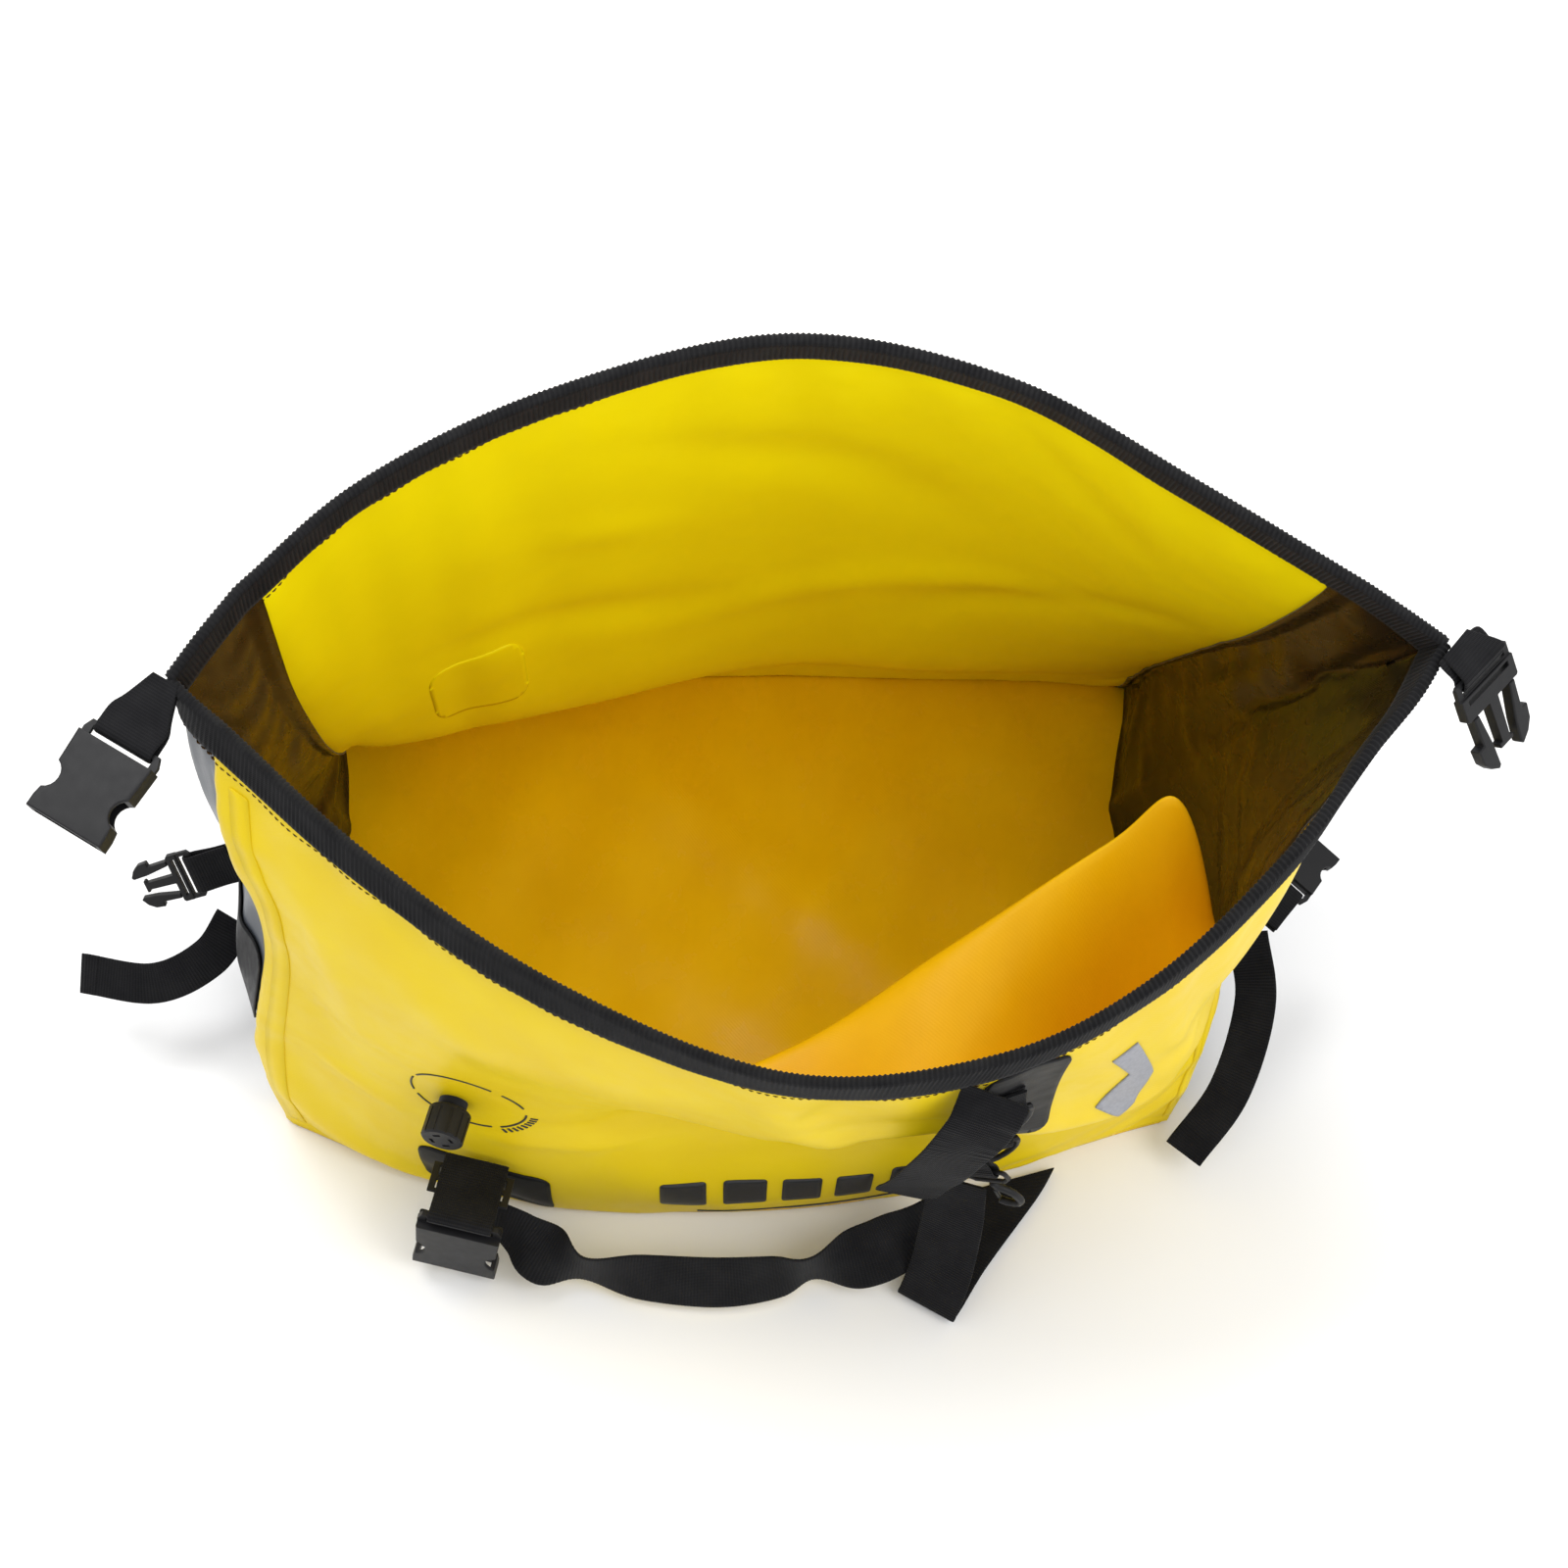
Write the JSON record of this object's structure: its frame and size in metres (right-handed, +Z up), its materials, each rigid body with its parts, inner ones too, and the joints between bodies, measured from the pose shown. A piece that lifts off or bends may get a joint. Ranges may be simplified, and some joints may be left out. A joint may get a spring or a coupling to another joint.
{
  "type": "duffel dry bag",
  "caption": "Roll-top duffel dry bag of welded coated fabric, mouth open, with webbing-bound rim, side-release buckles, rings, snap hook, carry straps and an air valve.",
  "frame": {"origin": "middle of the flat underside of the floor panel", "axes": "+Z up, +X along the mouth from the female mouth buckle to the plug half, -Y the front that carries the valve"},
  "size_m": [0.8325, 0.4498, 0.5196],
  "materials": {
    "yellow_fabric": "satin PVC-coated polyester",
    "grey_fabric": "satin PVC-coated polyester",
    "black_film": "matte coated reinforcement",
    "reflective_grey": "retro-reflective film",
    "seal_rubber": "matte",
    "webbing": "ribbed polyester webbing",
    "black_plastic": "fine-textured acetal"
  },
  "bodies": {
    "bag": {"base_panel": "yellow_fabric", "front_panel": "yellow_fabric", "back_panel": "yellow_fabric", "end_panel_right": "grey_fabric", "end_panel_left": "grey_fabric", "rim_binding_front": "webbing", "rim_binding_back": "webbing", "mouth_tab_left": "webbing", "mouth_tab_right": "webbing", "side_loop_left": "webbing", "side_loop_right": "webbing", "side_tail_left": "webbing", "side_tail_right": "webbing", "anchor_patch_left": "black_film", "anchor_patch_right": "black_film", "chevron_strip": "reflective_grey", "side_patch_left": "black_film", "side_patch_right": "black_film", "valve_body": "black_plastic", "handle_anchor_web": "webbing", "tri_glide": "black_plastic", "carry_strap": "webbing", "ring_tab_upper": "webbing", "ring_tab_lower": "webbing", "hook_web": "webbing", "shoulder_strap_upper": "webbing", "shoulder_strap_lower": "webbing"},
    "mouth_female": {"mouth_buckle_female": "black_plastic"},
    "mouth_male": {"mouth_buckle_male": "black_plastic"},
    "mouth_arm_a": {"mouth_prong_a": "black_plastic"},
    "mouth_arm_b": {"mouth_prong_b": "black_plastic"},
    "side_male": {"side_buckle_male": "black_plastic"},
    "side_arm_a": {"side_prong_a": "black_plastic"},
    "side_arm_b": {"side_prong_b": "black_plastic"},
    "side_female": {"side_buckle_female": "black_plastic"},
    "handle_female": {"handle_buckle_female": "black_plastic"},
    "upper_ring": {"ring_upper": "black_plastic"},
    "lower_ring": {"ring_lower": "black_plastic"},
    "swivel": {"hook_swivel": "black_plastic"},
    "hook": {"hook_body": "black_plastic"},
    "gate": {"hook_gate": "black_plastic"},
    "cap": {"valve_cap": "black_plastic", "valve_seal": "seal_rubber"}
  },
  "joints": [
    {"name": "mouth_female_swing", "type": "hinge", "parent": "bag", "child": "mouth_female", "pos_m": [-0.318, -0.094, 0.349], "axis": [0.8368, -0.5475, 0], "range_deg": [-50, 50]},
    {"name": "mouth_male_swing", "type": "hinge", "parent": "bag", "child": "mouth_male", "pos_m": [0.4075, -0.0575, 0.366], "axis": [0.6347, 0.7589, -0.1456], "range_deg": [-45, 45]},
    {"name": "mouth_arm_a_flex", "type": "hinge", "parent": "mouth_male", "child": "mouth_arm_a", "pos_m": [0.42611, -0.05386, 0.34588], "axis": [0.6887, -0.4701, 0.552], "range_deg": [-6, 0], "stiffness_Nm_per_rad": 0.6},
    {"name": "mouth_arm_b_flex", "type": "hinge", "parent": "mouth_male", "child": "mouth_arm_b", "pos_m": [0.40389, -0.08042, 0.35098], "axis": [0.6887, -0.4701, 0.552], "range_deg": [0, 6], "stiffness_Nm_per_rad": 0.6},
    {"name": "side_male_swing", "type": "hinge", "parent": "bag", "child": "side_male", "pos_m": [-0.318, -0.038, 0.1], "axis": [-0.3292, 0.5004, 0.8008], "range_deg": [-40, 40]},
    {"name": "side_arm_a_flex", "type": "hinge", "parent": "side_male", "child": "side_arm_a", "pos_m": [-0.33516, -0.03366, 0.10461], "axis": [0.0821, 0.86, -0.5036], "range_deg": [-6, 0], "stiffness_Nm_per_rad": 0.3},
    {"name": "side_arm_b_flex", "type": "hinge", "parent": "side_male", "child": "side_arm_b", "pos_m": [-0.32758, -0.04518, 0.08617], "axis": [0.0821, 0.86, -0.5036], "range_deg": [0, 6], "stiffness_Nm_per_rad": 0.3},
    {"name": "side_female_swing", "type": "hinge", "parent": "bag", "child": "side_female", "pos_m": [0.332, -0.052, 0.108], "axis": [0.7514, -0.5592, -0.3502], "range_deg": [-30, 30]},
    {"name": "handle_female_swing", "type": "hinge", "parent": "bag", "child": "handle_female", "pos_m": [-0.153, -0.2515, 0.068], "axis": [0.9726, -0.2005, -0.1179], "range_deg": [-30, 8]},
    {"name": "ring_upper_swing", "type": "hinge", "parent": "bag", "child": "upper_ring", "pos_m": [0.155, -0.246, 0.204], "axis": [0.9397, 0.342, 0], "range_deg": [-35, 0]},
    {"name": "ring_lower_swing", "type": "hinge", "parent": "bag", "child": "lower_ring", "pos_m": [0.153, -0.224, 0.114], "axis": [0.9397, 0.342, 0], "range_deg": [-35, 10]},
    {"name": "swivel_swing", "type": "hinge", "parent": "bag", "child": "swivel", "pos_m": [0.14572, -0.24952, 0.13647], "axis": [0.8445, -0.2997, 0.4438], "range_deg": [-25, 25]},
    {"name": "hook_turn", "type": "hinge", "parent": "swivel", "child": "hook", "pos_m": [0.1518, -0.2502, 0.12443], "axis": [0.4507, -0.0501, -0.8913], "continuous": true},
    {"name": "gate_open", "type": "hinge", "parent": "hook", "child": "gate", "pos_m": [0.1547, -0.24982, 0.11152], "axis": [-0.2893, -0.9527, -0.0928], "range_deg": [0, 20], "stiffness_Nm_per_rad": 0.02},
    {"name": "valve_turn", "type": "hinge", "parent": "bag", "child": "cap", "pos_m": [-0.15555, -0.20242, 0.12176], "axis": [-0.2427, -0.97, -0.0102], "range_deg": [0, 110]}
  ],
  "couplings": [
    {"joint": "mouth_arm_b_flex", "follows": "mouth_arm_a_flex", "ratio": -1},
    {"joint": "side_arm_b_flex", "follows": "side_arm_a_flex", "ratio": -1}
  ]
}
